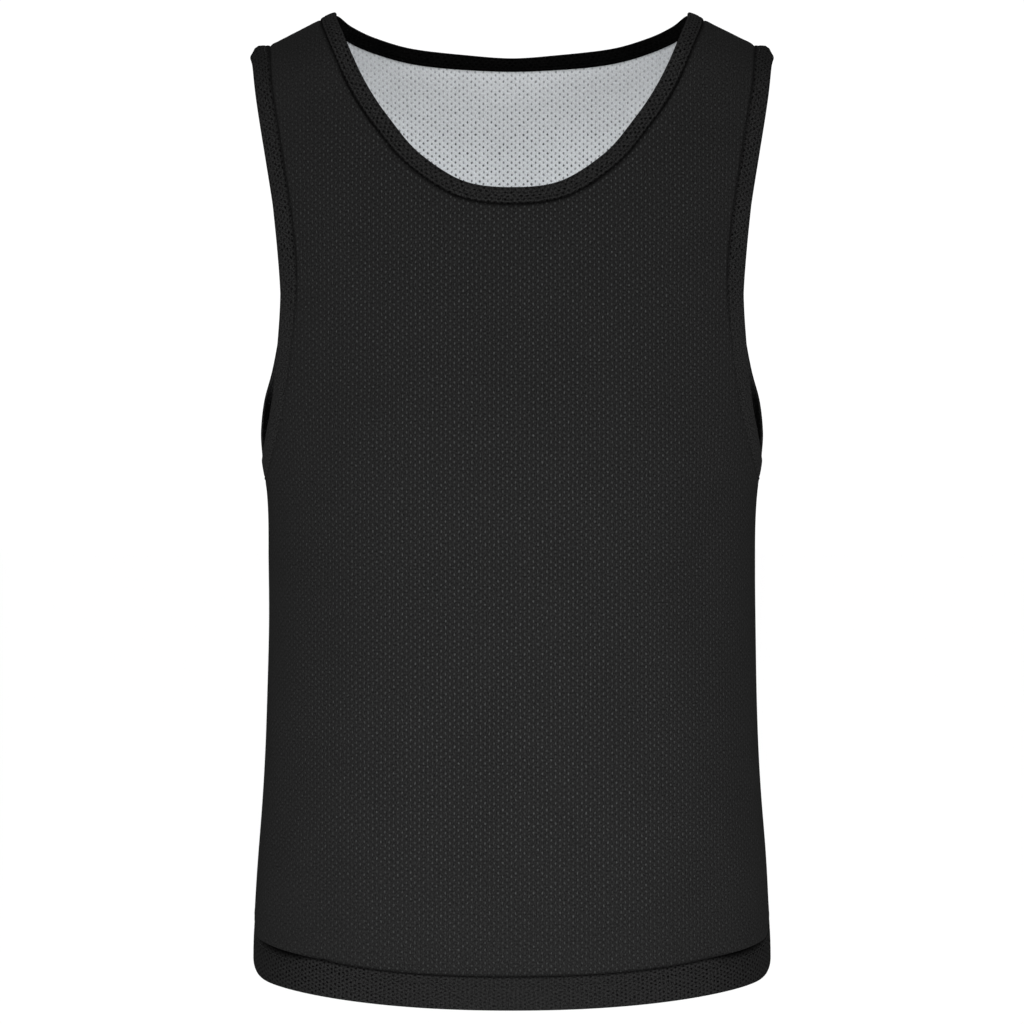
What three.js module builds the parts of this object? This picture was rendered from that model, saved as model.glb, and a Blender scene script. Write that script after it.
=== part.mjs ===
// Reversible training bib: two layers of knitted mesh, black outside and pale grey inside,
// with folded black bands round the neck, the armholes and the hem. It keeps the form that it
// has when it is worn, and is hollow and open at the neck, the armholes and the hem.
// Millimetres, +Z up. The front faces -Y, and +X is to the right of someone facing the front.
// The origin is on the midline, level with the tops of the shoulders, where the bib is held.

import * as THREE from 'three';

// Thickness of the cloth and the gaps between pieces
const GAP = 0.3;
const ARMHOLE_GAP = 0.6; // along a section, which crosses the seam at a slant under the arm
const OUTER_WALL = 1.0;
const LINING_WALL = 1.0;
const BAND_PROUD = 0.3; // a folded band stands out this far past the cloth on each side

// Shoulder line: straight from the neck to the shoulder tip, then the cloth turns down
const SHOULDER_FALL = 0.5; // fall of the shoulder line for each mm outwards
const HIGH_POINT_X = 127; // where the shoulder line is level with the origin
const SHOULDER_HALF = 200; // half-width that the shoulder line is measured on
const STRAIGHT_FROM = 0.6; // share of that half-width where the straight shoulder starts
const SHOULDER_ROUND = 45; // radius of the turn from the shoulder line down the body

// Body form at the outer face of the black cloth, one row for each level from the top down
const SQUARENESS = 2.5; // exponent of the level sections: 2 is an ellipse, more is squarer
const LEVELS = [
  { level: 40, half: 200, front: 58, back: 60 },
  { level: 0, half: 200, front: 62, back: 66 },
  { level: -60, half: 200, front: 75, back: 84 },
  { level: -140, half: 194, front: 96, back: 101 },
  { level: -220, half: 186.5, front: 108, back: 109 },
  { level: -300, half: 183.3, front: 116, back: 107.5 },
  { level: -345, half: 176, front: 117, back: 106 },
  { level: -400, half: 174.6, front: 117, back: 104 },
  { level: -450, half: 174.6, front: 117, back: 103 },
  { level: -500, half: 175.5, front: 117, back: 105 },
  { level: -560, half: 178.5, front: 117, back: 109 },
  { level: -620, half: 182.8, front: 118, back: 113 },
  { level: -660, half: 184.4, front: 119, back: 114.5 },
  { level: -705, half: 186.2, front: 120, back: 115 },
];

// Free edges of the neck and armhole bands on the wearer's left half of the bib (+X here).
// turn: degrees round the body from the middle (0) to the side seam (90)
// drop: mm down the cloth from the shoulder line; width: mm across the band
const NECK_FRONT = [
  { turn: 0, drop: 194, width: 12.6 },
  { turn: 9.8, drop: 187, width: 12.4 },
  { turn: 18.4, drop: 161, width: 12.0 },
  { turn: 24.3, drop: 129, width: 12.0 },
  { turn: 28.7, drop: 99, width: 12.0 },
  { turn: 32.7, drop: 64, width: 12.0 },
  { turn: 35.5, drop: 34, width: 12.0 },
  { turn: 36.2, drop: 15, width: 11.9 },
  { turn: 36.4, drop: 0, width: 11.8 },
];
const NECK_BACK = [
  { turn: 0, drop: 81, width: 9.6 },
  { turn: 11, drop: 75.5, width: 9.6 },
  { turn: 21, drop: 63.5, width: 9.8 },
  { turn: 28.6, drop: 46.5, width: 10.2 },
  { turn: 33.2, drop: 30, width: 10.8 },
  { turn: 35.4, drop: 15, width: 11.4 },
  { turn: 36.4, drop: 0, width: 11.8 },
];
const ARMHOLE_FRONT = [
  { turn: 63.5, drop: 0, width: 15 },
  { turn: 62.3, drop: 24, width: 15 },
  { turn: 60, drop: 55, width: 15 },
  { turn: 56.4, drop: 112, width: 15 },
  { turn: 54, drop: 165, width: 15 },
  { turn: 53.9, drop: 215, width: 15 },
  { turn: 56.3, drop: 263, width: 15 },
  { turn: 63.5, drop: 295, width: 15 },
  { turn: 75, drop: 310, width: 15 },
  { turn: 90, drop: 307, width: 15.6 },
];
const ARMHOLE_BACK = [
  { turn: 63.5, drop: 0, width: 15 },
  { turn: 62.9, drop: 24, width: 15 },
  { turn: 61.5, drop: 55, width: 15 },
  { turn: 59.8, drop: 112, width: 15 },
  { turn: 59.2, drop: 165, width: 15 },
  { turn: 60.6, drop: 212, width: 15 },
  { turn: 66, drop: 247, width: 15 },
  { turn: 73.5, drop: 268, width: 15 },
  { turn: 81.5, drop: 290, width: 15 },
  { turn: 90, drop: 307, width: 15.6 },
];

// Hem: the band hangs lowest at the middle and rises towards the side seams
const HEM_LEVEL = -698.7;
const HEM_RISE = 12;
const HEM_CORNER_RISE = 9;
const HEM_BAND_HEIGHT = 23.2; // at the middle
const HEM_BAND_SIDE_EXTRA = 2.5; // the band is this much taller at the side seams

// How finely the cloth is faceted
const COLUMNS = 12; // from the middle or the neck to the side seam or the armhole
const MIDDLE_ROWS = 13;
const NECK_ROWS = 9;
const SIDE_SEAM_ROWS = 8;
const ARMHOLE_ROWS = MIDDLE_ROWS + NECK_ROWS - SIDE_SEAM_ROWS;

const FRONT = -1;
const BACK = 1;
const degrees = (angle) => (angle * Math.PI) / 180;

// The value of one column of LEVELS at any level, smooth through the rows
function atLevel(level, key) {
  const slope = (i) => {
    const above = LEVELS[Math.max(i - 1, 0)];
    const below = LEVELS[Math.min(i + 1, LEVELS.length - 1)];
    return (above[key] - below[key]) / (above.level - below.level);
  };
  const height = THREE.MathUtils.clamp(level, LEVELS.at(-1).level, LEVELS[0].level);
  let upper = 0;
  while (upper < LEVELS.length - 2 && LEVELS[upper + 1].level > height) upper += 1;
  const [a, b] = [LEVELS[upper], LEVELS[upper + 1]];
  const span = b.level - a.level;
  const t = (height - a.level) / span;
  return a[key] * (1 + 2 * t) * (1 - t) ** 2 + b[key] * t * t * (3 - 2 * t)
    + span * (slope(upper) * t * (1 - t) ** 2 - slope(upper + 1) * t * t * (1 - t));
}

// Across and out from the middle of a level section, as shares of its half-width and depth
function sectionPoint(turn) {
  const [across, out] = [Math.sin(degrees(turn)), Math.cos(degrees(turn))];
  const size = (Math.abs(across) ** SQUARENESS + Math.abs(out) ** SQUARENESS) ** (1 / SQUARENESS);
  return { across: across / size, out: out / size };
}

// The turn at which a level section reaches a share of its half-width
function turnAt(across) {
  const out = (1 - across ** SQUARENESS) ** (1 / SQUARENESS);
  return THREE.MathUtils.radToDeg(Math.atan2(across, out));
}

// Level of the shoulder line, with a smooth cap over the open neck
function shoulderLevel(across) {
  const share = Math.abs(across);
  if (share >= STRAIGHT_FROM) return SHOULDER_FALL * (HIGH_POINT_X - SHOULDER_HALF * share);
  const bend = (SHOULDER_FALL * SHOULDER_HALF) / (2 * STRAIGHT_FROM);
  const join = SHOULDER_FALL * (HIGH_POINT_X - SHOULDER_HALF * STRAIGHT_FROM);
  return join + bend * (STRAIGHT_FROM ** 2 - share ** 2);
}

// A point on the outer face of the body. A drop below zero lies over the shoulder line,
// on the other side of the body.
function bodyPoint(side, turn, drop) {
  const { across, out } = sectionPoint(turn);
  const bend = Math.min(Math.abs(drop) / SHOULDER_ROUND, Math.PI / 2);
  const straight = Math.max(Math.abs(drop) - (SHOULDER_ROUND * Math.PI) / 2, 0);
  const level = shoulderLevel(across) - SHOULDER_ROUND * (1 - Math.cos(bend)) - straight;
  const facing = drop < 0 ? -side : side;
  const depth = atLevel(level, facing === FRONT ? 'front' : 'back');
  return new THREE.Vector3(
    atLevel(level, 'half') * across,
    facing * depth * out * Math.sin(bend),
    level,
  );
}

// How the body's point moves for one degree of turn and one mm of drop, and the way out
function bodySlopes(side, turn, drop) {
  const step = 0.5;
  const byTurn = bodyPoint(side, turn + step, drop)
    .sub(bodyPoint(side, turn - step, drop)).divideScalar(2 * step);
  const byDrop = bodyPoint(side, turn, drop + step)
    .sub(bodyPoint(side, turn, drop - step)).divideScalar(2 * step);
  const outward = new THREE.Vector3().crossVectors(byTurn, byDrop).multiplyScalar(side).normalize();
  return { byTurn, byDrop, outward };
}

// A point of the cloth moved out from the body's face, or in where the offset is below zero
function clothPoint(side, { turn, drop }, offset) {
  const { outward } = bodySlopes(side, turn, drop);
  return bodyPoint(side, turn, drop).addScaledVector(outward, offset);
}

// The turn and drop of a point of the body at a given level
function atHeight(turn, level) {
  const { across } = sectionPoint(turn);
  const straight = shoulderLevel(across) - level - SHOULDER_ROUND;
  return { turn, drop: straight + (SHOULDER_ROUND * Math.PI) / 2 };
}

// Smooth value between rows b and c, with the rows before and after them
const smoothBetween = (a, b, c, d, t) => 0.5 * (2 * b + (c - a) * t
  + (2 * a - 5 * b + 4 * c - d) * t ** 2 + (3 * b - a - 3 * c + d) * t ** 3);

// Points spaced evenly along the rows of an edge table. The rows before and after belong to
// the same edge where it goes on past the middle, the shoulder line or the side seam.
function edgePoints(rows, before, after, count) {
  const all = [before, ...rows, after];
  return Array.from({ length: count + 1 }, (_, i) => {
    const place = (i / count) * (rows.length - 1);
    const first = Math.min(Math.floor(place), rows.length - 2);
    const four = all.slice(first, first + 4);
    const value = (key) => smoothBetween(...four.map((row) => row[key]), place - first);
    return { turn: value('turn'), drop: value('drop'), width: value('width') };
  });
}
const pastMiddle = (row) => ({ ...row, turn: -row.turn });
const pastShoulder = (row) => ({ ...row, drop: -row.drop });
const pastSide = (row) => ({ ...row, turn: 180 - row.turn });

// The point a given width across the cloth from an edge, square to the edge
function acrossCloth(side, point, along, width) {
  const steps = 4;
  let { turn, drop } = point;
  for (let i = 0; i < steps; i += 1) {
    const { byTurn, byDrop, outward } = bodySlopes(side, turn, drop);
    const move = new THREE.Vector3().crossVectors(outward, along).multiplyScalar(side)
      .setLength(width / steps);
    const [tt, dd, td] = [byTurn.dot(byTurn), byDrop.dot(byDrop), byTurn.dot(byDrop)];
    const [mt, md] = [move.dot(byTurn), move.dot(byDrop)];
    turn += (mt * dd - md * td) / (tt * dd - td * td);
    drop += (md * tt - mt * td) / (tt * dd - td * td);
  }
  return { turn, drop };
}

// The seam line of a band: it runs alongside the free edge, the band's width inside the cloth.
// shoulderWay is the way that the cloth lies from the edge on the shoulder line, out or in.
function seamLine(side, edge, shoulderWay) {
  const points = edge.map((point) => bodyPoint(side, point.turn, point.drop));
  return edge.map((point, i) => {
    if (point.drop === 0) {
      const alongShoulder = (point.width * shoulderWay) / Math.hypot(1, SHOULDER_FALL);
      return { turn: turnAt((points[i].x + alongShoulder) / SHOULDER_HALF), drop: 0 };
    }
    if (i === 0 || i === edge.length - 1) {
      return { turn: point.turn, drop: point.drop + point.width };
    }
    const along = points[i + 1].clone().sub(points[i - 1]);
    return acrossCloth(side, point, along, point.width);
  });
}

// Free edges, from the middle to the shoulder and from the shoulder to the side seam
const edges = {
  [FRONT]: {
    neck: edgePoints(NECK_FRONT, pastMiddle(NECK_FRONT[1]), pastShoulder(NECK_BACK.at(-2)),
      NECK_ROWS),
    armhole: edgePoints(ARMHOLE_FRONT, pastShoulder(ARMHOLE_BACK[1]),
      pastSide(ARMHOLE_BACK.at(-2)), ARMHOLE_ROWS),
  },
  [BACK]: {
    neck: edgePoints(NECK_BACK, pastMiddle(NECK_BACK[1]), pastShoulder(NECK_FRONT.at(-2)),
      NECK_ROWS),
    armhole: edgePoints(ARMHOLE_BACK, pastShoulder(ARMHOLE_FRONT[1]),
      pastSide(ARMHOLE_FRONT.at(-2)), ARMHOLE_ROWS),
  },
};
const OUTWARDS = 1;
const INWARDS = -1;
const neckSeam = (side) => seamLine(side, edges[side].neck, OUTWARDS);
const armholeSeam = (side) => seamLine(side, edges[side].armhole, INWARDS);

// The turns at which a panel's columns reach the hem, from the middle to the side seam
const hemTurns = () => Array.from({ length: COLUMNS + 1 }, (_, i) => (90 * i) / COLUMNS);

// Levels of the hem band's lower edge and of the panels' lower edge
function hemLevel(turn) {
  const { across } = sectionPoint(turn);
  return HEM_LEVEL + HEM_RISE * across ** 2 + HEM_CORNER_RISE * across ** 48;
}
function panelBottomLevel(turn) {
  const { across } = sectionPoint(turn);
  return hemLevel(turn) + HEM_BAND_HEIGHT + HEM_BAND_SIDE_EXTRA * across ** 8;
}

// A closed solid from indexed points, with its faces turned out
function solidFrom(points, triangles) {
  let volume = 0;
  for (const [a, b, c] of triangles) {
    volume += points[a].dot(new THREE.Vector3().crossVectors(points[b], points[c]));
  }
  const faces = volume < 0 ? triangles.map(turnedOver) : triangles;
  const geometry = new THREE.BufferGeometry();
  geometry.setFromPoints(points);
  geometry.setIndex(faces.flat());
  geometry.computeVertexNormals();
  return geometry;
}

// Evenly spaced spots between two spots, both ends included
const spotsBetween = (from, to, count) => Array.from({ length: count + 1 }, (_, i) => ({
  turn: THREE.MathUtils.lerp(from.turn, to.turn, i / count),
  drop: THREE.MathUtils.lerp(from.drop, to.drop, i / count),
}));

// The spots of one half of a panel, in columns outwards and rows from the hem up. Its edges
// are the hem, the middle line with the neck, the side seam with the armhole, and the
// shoulder line. Inside, each spot blends the edges that face each other.
function panelSpots(side) {
  const [neck, armhole] = [neckSeam(side), armholeSeam(side)];
  const bottom = hemTurns().map((turn) => atHeight(turn, panelBottomLevel(turn)));
  const inside = [...spotsBetween(bottom[0], neck[0], MIDDLE_ROWS), ...neck.slice(1)];
  const sideSeam = spotsBetween(bottom.at(-1), armhole.at(-1), SIDE_SEAM_ROWS);
  const outside = [...sideSeam, ...armhole.slice(0, -1).reverse()];
  const shoulder = spotsBetween(inside.at(-1), outside.at(-1), COLUMNS);
  const blend = (i, j, key) => {
    const { lerp } = THREE.MathUtils;
    const [u, v] = [i / COLUMNS, j / (inside.length - 1)];
    const corners = lerp(
      lerp(bottom[0][key], bottom.at(-1)[key], u),
      lerp(shoulder[0][key], shoulder.at(-1)[key], u),
      v,
    );
    return lerp(inside[j][key], outside[j][key], u)
      + lerp(bottom[i][key], shoulder[i][key], v) - corners;
  };
  return bottom.map((_, i) => inside.map((__, j) => ({
    turn: blend(i, j, 'turn'),
    drop: blend(i, j, 'drop'),
  })));
}

const quad = (a, b, c, d) => [[a, b, c], [a, c, d]];
const turnedOver = ([a, b, c]) => [a, c, b];

// A wall between two faces that share one list of triangles, closed along every free edge
function wallSolid(outerPoints, innerPoints, triangles) {
  const inner = (index) => outerPoints.length + index;
  const borders = triangles.flatMap(([a, b, c]) => [[a, b], [b, c], [c, a]]);
  const known = new Set(borders.map((pair) => pair.join()));
  const rims = borders.filter(([a, b]) => !known.has([b, a].join()))
    .flatMap(([a, b]) => quad(b, a, inner(a), inner(b)));
  const innerTriangles = triangles.map((corners) => turnedOver(corners.map(inner)));
  return solidFrom([...outerPoints, ...innerPoints], [...triangles, ...innerTriangles, ...rims]);
}

// A ring through closed sections that all have the same number of points
function ringSolid(sections) {
  const count = sections[0].length;
  const triangles = sections.flatMap((_, i) => {
    const [here, next] = [i * count, ((i + 1) % sections.length) * count];
    return sections[0].flatMap((__, j) => {
      const after = (j + 1) % count;
      return quad(here + j, next + j, next + after, here + after);
    });
  });
  return solidFrom(sections.flat(), triangles);
}

const mirrored = (point) => new THREE.Vector3(-point.x, point.y, point.z);

// One layer of the front or back, a wall between two offsets from the body's face. Its two
// halves share the points of the middle line, from the hem up to the neck.
function panel(side, outerOffset, innerOffset) {
  const spots = panelSpots(side);
  const rows = spots[0].length;
  const clearOfSeam = (point) => {
    point.y = side * Math.max(Math.abs(point.y), GAP / 2);
    return point;
  };
  const facePoints = (offset) => {
    const right = spots.flat().map((spot) => clearOfSeam(clothPoint(side, spot, offset)));
    return [...right, ...right.map(mirrored)];
  };
  const rightIndex = (i, j) => i * rows + j;
  const leftIndex = (i, j) => {
    const onMiddle = i === 0 && j <= MIDDLE_ROWS;
    return rightIndex(i, j) + (onMiddle ? 0 : spots.length * rows);
  };
  const triangles = [];
  for (let i = 0; i < COLUMNS; i += 1) {
    for (let j = 0; j < rows - 1; j += 1) {
      const corners = [[i, j], [i + 1, j], [i + 1, j + 1], [i, j + 1]];
      triangles.push(...quad(...corners.map((corner) => rightIndex(...corner))));
      triangles.push(...quad(...corners.map((corner) => leftIndex(...corner))).map(turnedOver));
    }
  }
  return wallSolid(facePoints(outerOffset), facePoints(innerOffset), triangles);
}

// Section of a folded band: out along one face from the seam to the free edge, round the fold
// and back along the other face
const BAND_OUT = BAND_PROUD;
const BAND_IN = -(OUTER_WALL + GAP + LINING_WALL + BAND_PROUD);
const BAND_MIDDLE = (BAND_OUT + BAND_IN) / 2;
const FOLD_ROUND = 1.2; // how far from the free edge the faces start to round over
function bandSection(side, seam, edge, gap = GAP) {
  const [from, to] = [bodyPoint(side, seam.turn, seam.drop), bodyPoint(side, edge.turn, edge.drop)];
  const clearOfCloth = gap / from.distanceTo(to);
  const roundFrom = 1 - FOLD_ROUND / from.distanceTo(to);
  const spot = (share) => ({
    turn: THREE.MathUtils.lerp(seam.turn, edge.turn, share),
    drop: THREE.MathUtils.lerp(seam.drop, edge.drop, share),
  });
  const faceShares = [clearOfCloth, 0.5, roundFrom];
  const outerFace = faceShares.map((share) => clothPoint(side, spot(share), BAND_OUT));
  const innerFace = faceShares.reverse().map((share) => clothPoint(side, spot(share), BAND_IN));
  return [...outerFace, clothPoint(side, spot(1), BAND_MIDDLE), ...innerFace];
}

function neckSections(side) {
  const seam = neckSeam(side);
  return edges[side].neck.map((edge, i) => bandSection(side, seam[i], edge));
}
function armholeSections(side) {
  const seam = armholeSeam(side);
  return edges[side].armhole.map((edge, i) => bandSection(side, seam[i], edge, ARMHOLE_GAP));
}
function hemSections(side) {
  return hemTurns().map((turn) => bandSection(
    side,
    atHeight(turn, panelBottomLevel(turn)),
    atHeight(turn, hemLevel(turn)),
  ));
}

// A ring round the body: from the middle of the front to the middle of the back, and back
// round the other half. The sections must end on one point where the two sides meet.
function ringRoundBody(sections) {
  const right = [...sections(FRONT), ...sections(BACK).reverse().slice(1)];
  const left = right.slice(1, -1).reverse().map((section) => section.map(mirrored));
  return ringSolid([...right, ...left]);
}

// A ring round one armhole: down the front from the shoulder line and up the back
function armholeRing(hand) {
  const ring = [...armholeSections(FRONT), ...armholeSections(BACK).reverse().slice(1, -1)];
  return ringSolid(hand < 0 ? ring.map((section) => section.map(mirrored)) : ring);
}

const finishes = {
  blackMesh: { color: 0x232423, roughness: 0.85, metalness: 0 },
  paleMesh: { color: 0xb4b8bb, roughness: 0.85, metalness: 0 },
  blackBand: { color: 0x1c1d1d, roughness: 0.8, metalness: 0 },
};

function clothMesh(name, geometry, finish) {
  const mesh = new THREE.Mesh(geometry, new THREE.MeshStandardMaterial(finish));
  mesh.name = name;
  return mesh;
}

const LINING_OUT = -(OUTER_WALL + GAP);
const LINING_IN = LINING_OUT - LINING_WALL;

const bib = new THREE.Group();
bib.add(
  clothMesh('outer_front', panel(FRONT, 0, -OUTER_WALL), finishes.blackMesh),
  clothMesh('outer_back', panel(BACK, 0, -OUTER_WALL), finishes.blackMesh),
  clothMesh('lining_front', panel(FRONT, LINING_OUT, LINING_IN), finishes.paleMesh),
  clothMesh('lining_back', panel(BACK, LINING_OUT, LINING_IN), finishes.paleMesh),
  clothMesh('neck_band', ringRoundBody(neckSections), finishes.blackBand),
  clothMesh('armhole_band_left', armholeRing(1), finishes.blackBand),
  clothMesh('armhole_band_right', armholeRing(-1), finishes.blackBand),
  clothMesh('hem_band', ringRoundBody(hemSections), finishes.blackBand),
);

export default bib;
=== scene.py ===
import bpy
import numpy as np
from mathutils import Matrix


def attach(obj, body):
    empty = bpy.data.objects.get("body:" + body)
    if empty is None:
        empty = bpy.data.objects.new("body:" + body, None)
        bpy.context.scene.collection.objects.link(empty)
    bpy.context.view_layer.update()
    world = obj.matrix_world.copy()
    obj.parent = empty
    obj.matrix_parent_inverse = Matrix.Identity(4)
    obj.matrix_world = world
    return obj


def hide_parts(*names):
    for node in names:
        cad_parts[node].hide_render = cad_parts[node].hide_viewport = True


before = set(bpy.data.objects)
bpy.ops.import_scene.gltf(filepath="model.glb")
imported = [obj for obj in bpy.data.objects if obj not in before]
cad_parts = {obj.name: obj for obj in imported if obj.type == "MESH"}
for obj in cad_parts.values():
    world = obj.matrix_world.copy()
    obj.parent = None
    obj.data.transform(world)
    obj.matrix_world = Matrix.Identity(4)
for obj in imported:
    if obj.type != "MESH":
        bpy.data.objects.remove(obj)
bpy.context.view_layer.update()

# Black mesh front and back
# The outside of the bib: two panels of black knitted polyester mesh, a front and a back, cut
# from shoulder to hem and sewn together along the shoulders and the side seams. The cloth hangs
# filled out, as it does when worn, and its small eyelets are painted as light dots: the pale
# lining seen through them, in painted shade.

SIDES = FRONT, BACK = -1, 1  # the way along Y that each side of the bib faces
GAP = 0.3  # between the layers of cloth, in mm, as all sizes here
SEAM_GAP = 0.004  # between the edges of the front and the back, which are sewn together
SQUARENESS = 2.5  # of the level sections: 2 is an ellipse, more is squarer
SHOULDER_FALL = 0.5  # fall of the shoulder line for each mm outwards
HIGH_POINT_X = 127.0  # where the shoulder line is level with the origin
SHOULDER_HALF = 200.0  # half-width that the shoulder line is measured on
STRAIGHT_FROM = 0.6  # share of that half-width where the straight shoulder starts
SHOULDER_ROUND = 45.0  # radius of the turn from the shoulder line down the body
HEM_LEVEL, HEM_RISE, HEM_CORNER_RISE = -698.7, 12.0, 9.0
HEM_BAND_HEIGHT, HEM_BAND_SIDE_EXTRA = 23.2, 7.0

# Body form at the outer face of the black cloth: level, half-width, depth in front and behind
LEVELS = np.array([
    (-705, 186.2, 120, 115),
    (-660, 184.4, 119, 114.5),
    (-620, 182.8, 118, 113),
    (-560, 178.5, 117, 109),
    (-500, 175.5, 117, 105),
    (-450, 174.6, 117, 103),
    (-400, 174.6, 117, 104),
    (-345, 176, 117, 106),
    (-300, 183.3, 116, 107.5),
    (-220, 186.5, 108, 109),
    (-140, 194, 96, 101),
    (-60, 200, 75, 84),
    (0, 200, 62, 66),
    (40, 200, 58, 60),
])
HALF_WIDTH = 1
DEPTH = {FRONT: 2, BACK: 3}

# Free edges of the bands on the bib's +X half: degrees of turn round the body from the middle
# to the side seam, mm of drop down the cloth from the shoulder line, and mm of band width
NECK_EDGE = {
    FRONT: np.array([
        (0, 194, 12.6), (9.8, 187, 12.4), (18.4, 161, 12.0), (24.3, 129, 12.0),
        (28.7, 99, 12.0), (32.7, 64, 12.0), (35.5, 34, 12.0), (36.2, 15, 11.9), (36.4, 0, 11.8),
    ]),
    BACK: np.array([
        (0, 80.6, 9.6), (11, 74.9, 11.2), (21, 62.7, 11.8), (28.6, 45.8, 12.0),
        (33.2, 29.6, 12.0), (35.4, 15, 11.9), (36.4, 0, 11.8),
    ]),
}
ARMHOLE_EDGE = {
    FRONT: np.array([
        (63.5, 0, 15), (62.3, 24, 15), (60, 55, 15), (56.4, 112, 15), (54, 165, 15),
        (53.9, 215, 15), (56.3, 263, 15), (63.5, 295, 15), (75, 310, 15), (90, 307, 15.6),
    ]),
    BACK: np.array([
        (63.5, 0, 15), (62.9, 24, 15), (61.5, 55, 15), (59.8, 112, 15), (59.2, 165, 15),
        (60.6, 212, 15), (66, 247, 15), (73.5, 268, 15), (81.5, 290, 15), (90, 307, 15.6),
    ]),
}


def at_level(level, column):
    """One column of LEVELS at any level: a cubic between two rows, whose slope at each row is
    the slope of the line from the row below to the row above."""
    knots, values = LEVELS[:, 0], LEVELS[:, column]
    low = np.maximum(np.arange(len(knots)) - 1, 0)
    high = np.minimum(np.arange(len(knots)) + 1, len(knots) - 1)
    slopes = (values[high] - values[low]) / (knots[high] - knots[low])
    height = np.clip(level, knots[0], knots[-1])
    i = np.clip(np.searchsorted(knots, height) - 1, 0, len(knots) - 2)
    span = knots[i + 1] - knots[i]
    t = (height - knots[i]) / span
    return (
        values[i] * (1 + 2 * t) * (1 - t) ** 2
        + values[i + 1] * t * t * (3 - 2 * t)
        + span * (slopes[i] * t * (1 - t) ** 2 - slopes[i + 1] * t * t * (1 - t))
    )


def section_point(turn):
    """Across and out from the middle of a level section, as shares of its half-width and depth:
    the point of a rounded square, |across|^n + |out|^n = 1, that lies in the turn's direction."""
    across, out = np.sin(np.radians(turn)), np.cos(np.radians(turn))
    size = (np.abs(across) ** SQUARENESS + np.abs(out) ** SQUARENESS) ** (1 / SQUARENESS)
    return across / size, out / size


def shoulder_level(across):
    """Level of the shoulder line: straight outside STRAIGHT_FROM, a parabola inside it."""
    share = np.abs(across)
    straight = SHOULDER_FALL * (HIGH_POINT_X - SHOULDER_HALF * share)
    join = SHOULDER_FALL * (HIGH_POINT_X - SHOULDER_HALF * STRAIGHT_FROM)
    bend = SHOULDER_FALL * SHOULDER_HALF / (2 * STRAIGHT_FROM)
    return np.where(share >= STRAIGHT_FROM, straight, join + bend * (STRAIGHT_FROM**2 - share**2))


def body_point(side, turn, drop):
    """Point of the body's outer face: down a quarter of a circle from the shoulder line and then
    straight down, at the section's place across and its depth times the circle's sine."""
    across, out = section_point(turn)
    bend = np.minimum(np.abs(drop) / SHOULDER_ROUND, np.pi / 2)
    straight = np.maximum(np.abs(drop) - SHOULDER_ROUND * np.pi / 2, 0)
    level = shoulder_level(across) - SHOULDER_ROUND * (1 - np.cos(bend)) - straight
    facing = np.where(np.asarray(drop) < 0, -side, side)
    depth = np.where(facing == FRONT, at_level(level, DEPTH[FRONT]), at_level(level, DEPTH[BACK]))
    return np.stack(
        [at_level(level, HALF_WIDTH) * across, facing * depth * out * np.sin(bend), level], -1
    )


def body_slopes(side, turn, drop):
    """How the point moves for a degree of turn and a mm of drop, and the unit way outwards."""
    step = 0.5
    by_turn = body_point(side, turn + step, drop) - body_point(side, turn - step, drop)
    by_drop = body_point(side, turn, drop + step) - body_point(side, turn, drop - step)
    outward = side * np.cross(by_turn, by_drop)
    outward /= np.linalg.norm(outward, axis=-1, keepdims=True)
    return by_turn / (2 * step), by_drop / (2 * step), outward


def edge_points(rows, before, after, share):
    """Catmull-Rom curve through the rows of an edge table at shares 0 to 1 of its length. The
    rows before and after carry the edge past the middle, the shoulder line or the side seam."""
    every = np.vstack([before, rows, after])
    place = share * (len(rows) - 1)
    first = np.minimum(place.astype(int), len(rows) - 2)
    t = (place - first)[:, None]
    a, b, c, d = (every[first + k] for k in range(4))
    return 0.5 * (
        2 * b + (c - a) * t + (2 * a - 5 * b + 4 * c - d) * t**2 + (3 * b - a - 3 * c + d) * t**3
    )


# What a row of an edge table is multiplied by to carry the edge on past the middle or the top
PAST_MIDDLE = np.array([-1, 1, 1])
PAST_SHOULDER = np.array([1, -1, 1])


def bell(distance, half_width, power=2):
    """1 at no distance, falling off as a bell curve, or with a flatter top for a higher power."""
    return np.exp(-(np.abs(distance / half_width) ** power))


def soft_step(value):
    """0 below 0, 1 above 1, and a cubic between them."""
    share = np.clip(value, 0, 1)
    return share * share * (3 - 2 * share)


# Soft changes to the edges, each as the degrees that the edge moves to the side, and the drop and
# half-width of the bell that it follows: both edges are rounded over on the shoulder, where the
# armhole edge bulges a little too, and in front that edge stands out above the underarm
NECK_TOP = 0.4, 0, 7
ARMHOLE_TOP, ARMHOLE_BULGE, ARMHOLE_FLARE = (-1.0, 0, 9), (0.9, 17, 11), (2.0, 252, 38)
FLARE_FADE = 20  # degrees over which the last one fades out before the side seam
SIDE = 90  # degrees of turn at the side seam


def moved_out(drop, change):
    """Degrees that one soft change moves an edge at each drop."""
    degrees, middle, half_width = change
    return degrees * bell(drop - middle, half_width)


def neck_edge(side, share):
    """Free edge of the neck band, from the middle (0) to the shoulder line (1)."""
    rows, other = NECK_EDGE[side], NECK_EDGE[-side]
    edge = edge_points(rows, rows[1] * PAST_MIDDLE, other[-2] * PAST_SHOULDER, share)
    edge[:, 0] += moved_out(edge[:, 1], NECK_TOP)
    return edge


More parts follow.
